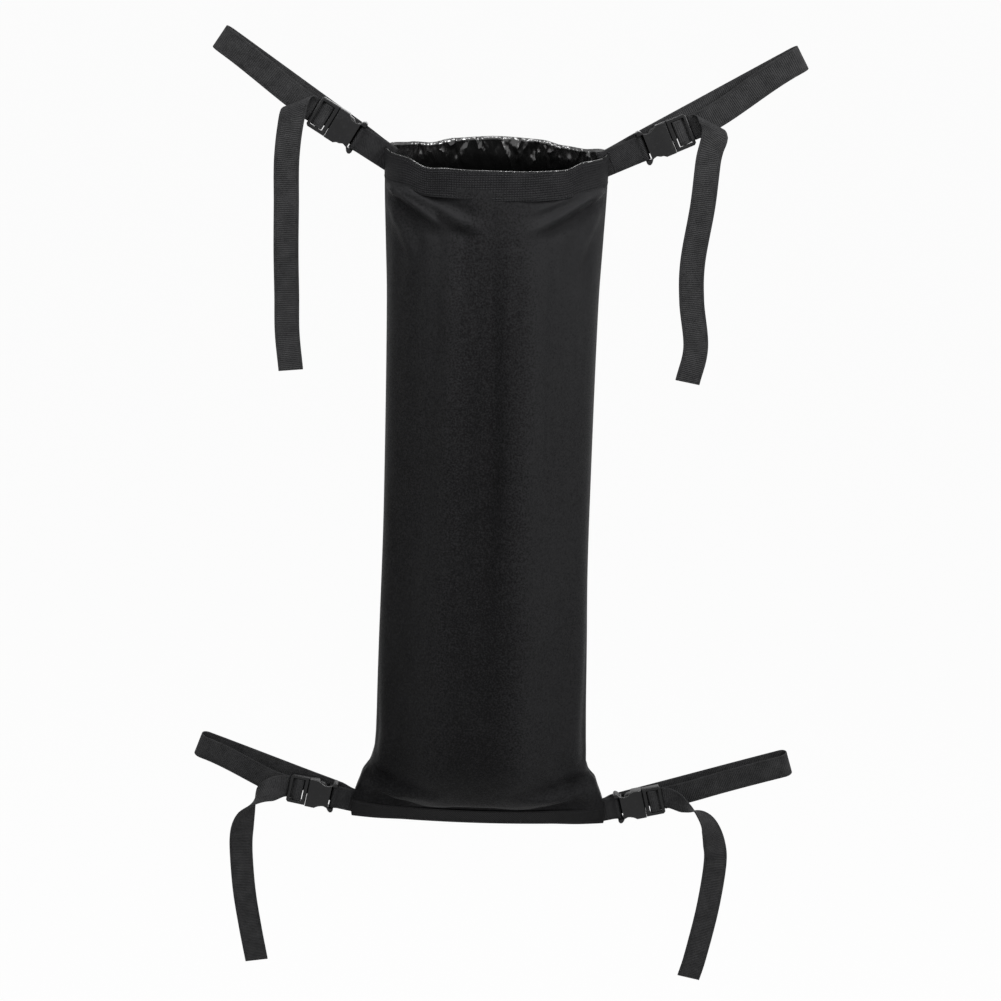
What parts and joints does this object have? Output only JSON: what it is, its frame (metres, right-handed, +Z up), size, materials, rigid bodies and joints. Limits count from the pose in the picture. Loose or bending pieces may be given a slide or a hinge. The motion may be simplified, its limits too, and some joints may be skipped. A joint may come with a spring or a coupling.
{
  "type": "weight bag",
  "caption": "Open tube-shaped fabric weight bag, hung by four side-release buckle straps at its corners.",
  "frame": {"origin": "on the bag's axis, at the height of the mouth's corners, half-way between the two upper seams", "axes": "+Z up along the hanging bag, -Y to its front, +X to the right seen from the front"},
  "size_m": [0.6452, 0.1424, 1.018],
  "materials": {
    "fabric": "coated woven, faint sheen",
    "webbing": "ribbed woven, matte",
    "plastic": "moulded, satin"
  },
  "bodies": {
    "bag": {"front_panel": "fabric", "back_panel": "fabric", "mouth_band_front": "webbing", "mouth_band_back": "webbing", "bottom_band": "webbing", "upper_left_tab": "webbing", "upper_left_socket": "plastic", "upper_left_strap_back": "webbing", "upper_right_tab": "webbing", "upper_right_socket": "plastic", "upper_right_strap_back": "webbing", "lower_left_tab": "webbing", "lower_left_socket": "plastic", "lower_left_strap_back": "webbing", "lower_right_tab": "webbing", "lower_right_socket": "plastic", "lower_right_strap_back": "webbing"},
    "upper_left_plug": {"upper_left_plug": "plastic", "upper_left_strap_front": "webbing", "upper_left_tail": "webbing"},
    "upper_left_prong_a": {"upper_left_prong_a": "plastic"},
    "upper_left_prong_b": {"upper_left_prong_b": "plastic"},
    "upper_right_plug": {"upper_right_plug": "plastic", "upper_right_strap_front": "webbing", "upper_right_tail": "webbing"},
    "upper_right_prong_a": {"upper_right_prong_a": "plastic"},
    "upper_right_prong_b": {"upper_right_prong_b": "plastic"},
    "lower_left_plug": {"lower_left_plug": "plastic", "lower_left_strap_front": "webbing", "lower_left_tail": "webbing"},
    "lower_left_prong_a": {"lower_left_prong_a": "plastic"},
    "lower_left_prong_b": {"lower_left_prong_b": "plastic"},
    "lower_right_plug": {"lower_right_plug": "plastic", "lower_right_strap_front": "webbing", "lower_right_tail": "webbing"},
    "lower_right_prong_a": {"lower_right_prong_a": "plastic"},
    "lower_right_prong_b": {"lower_right_prong_b": "plastic"}
  },
  "joints": [
    {"name": "upper_left_release", "type": "slide", "parent": "bag", "child": "upper_left_plug", "axis": [-0.8572, 0, 0.515], "range_m": [0, 0.036]},
    {"name": "upper_left_press_a", "type": "hinge", "parent": "upper_left_plug", "child": "upper_left_prong_a", "pos_m": [-0.16829, -0.00085, 0.01067], "axis": [0, -1, 0], "range_deg": [0, 8], "stiffness_Nm_per_rad": 0.2, "springref_deg": -1.15},
    {"name": "upper_left_press_b", "type": "hinge", "parent": "upper_left_plug", "child": "upper_left_prong_b", "pos_m": [-0.155, -0.00085, 0.03278], "axis": [0, 1, 0], "range_deg": [0, 8], "stiffness_Nm_per_rad": 0.2, "springref_deg": -1.15},
    {"name": "upper_right_release", "type": "slide", "parent": "bag", "child": "upper_right_plug", "axis": [0.91, 0, 0.4147], "range_m": [0, 0.036]},
    {"name": "upper_right_press_a", "type": "hinge", "parent": "upper_right_plug", "child": "upper_right_prong_a", "pos_m": [0.1641, -0.00085, 0.02936], "axis": [0, -1, 0], "range_deg": [0, 8], "stiffness_Nm_per_rad": 0.2, "springref_deg": -1.15},
    {"name": "upper_right_press_b", "type": "hinge", "parent": "upper_right_plug", "child": "upper_right_prong_b", "pos_m": [0.1748, -0.00085, 0.00588], "axis": [0, 1, 0], "range_deg": [0, 8], "stiffness_Nm_per_rad": 0.2, "springref_deg": -1.15},
    {"name": "lower_left_release", "type": "slide", "parent": "bag", "child": "lower_left_plug", "axis": [-0.9799, 0, 0.1994], "range_m": [0, 0.036]},
    {"name": "lower_left_press_a", "type": "hinge", "parent": "lower_left_plug", "child": "lower_left_prong_a", "pos_m": [-0.1869, -0.00085, -0.70905], "axis": [0, -1, 0], "range_deg": [0, 8], "stiffness_Nm_per_rad": 0.2, "springref_deg": -1.15},
    {"name": "lower_left_press_b", "type": "hinge", "parent": "lower_left_plug", "child": "lower_left_prong_b", "pos_m": [-0.18175, -0.00085, -0.68377], "axis": [0, 1, 0], "range_deg": [0, 8], "stiffness_Nm_per_rad": 0.2, "springref_deg": -1.15},
    {"name": "lower_right_release", "type": "slide", "parent": "bag", "child": "lower_right_plug", "axis": [0.9703, 0, 0.2419], "range_m": [0, 0.036]},
    {"name": "lower_right_press_a", "type": "hinge", "parent": "lower_right_plug", "child": "lower_right_prong_a", "pos_m": [0.17618, -0.00085, -0.68495], "axis": [0, -1, 0], "range_deg": [0, 8], "stiffness_Nm_per_rad": 0.2, "springref_deg": -1.15},
    {"name": "lower_right_press_b", "type": "hinge", "parent": "lower_right_plug", "child": "lower_right_prong_b", "pos_m": [0.18242, -0.00085, -0.70998], "axis": [0, 1, 0], "range_deg": [0, 8], "stiffness_Nm_per_rad": 0.2, "springref_deg": -1.15}
  ],
  "couplings": [
    {"joint": "upper_left_press_b", "follows": "upper_left_press_a", "ratio": 1},
    {"joint": "upper_right_press_b", "follows": "upper_right_press_a", "ratio": 1},
    {"joint": "lower_left_press_b", "follows": "lower_left_press_a", "ratio": 1},
    {"joint": "lower_right_press_b", "follows": "lower_right_press_a", "ratio": 1}
  ]
}
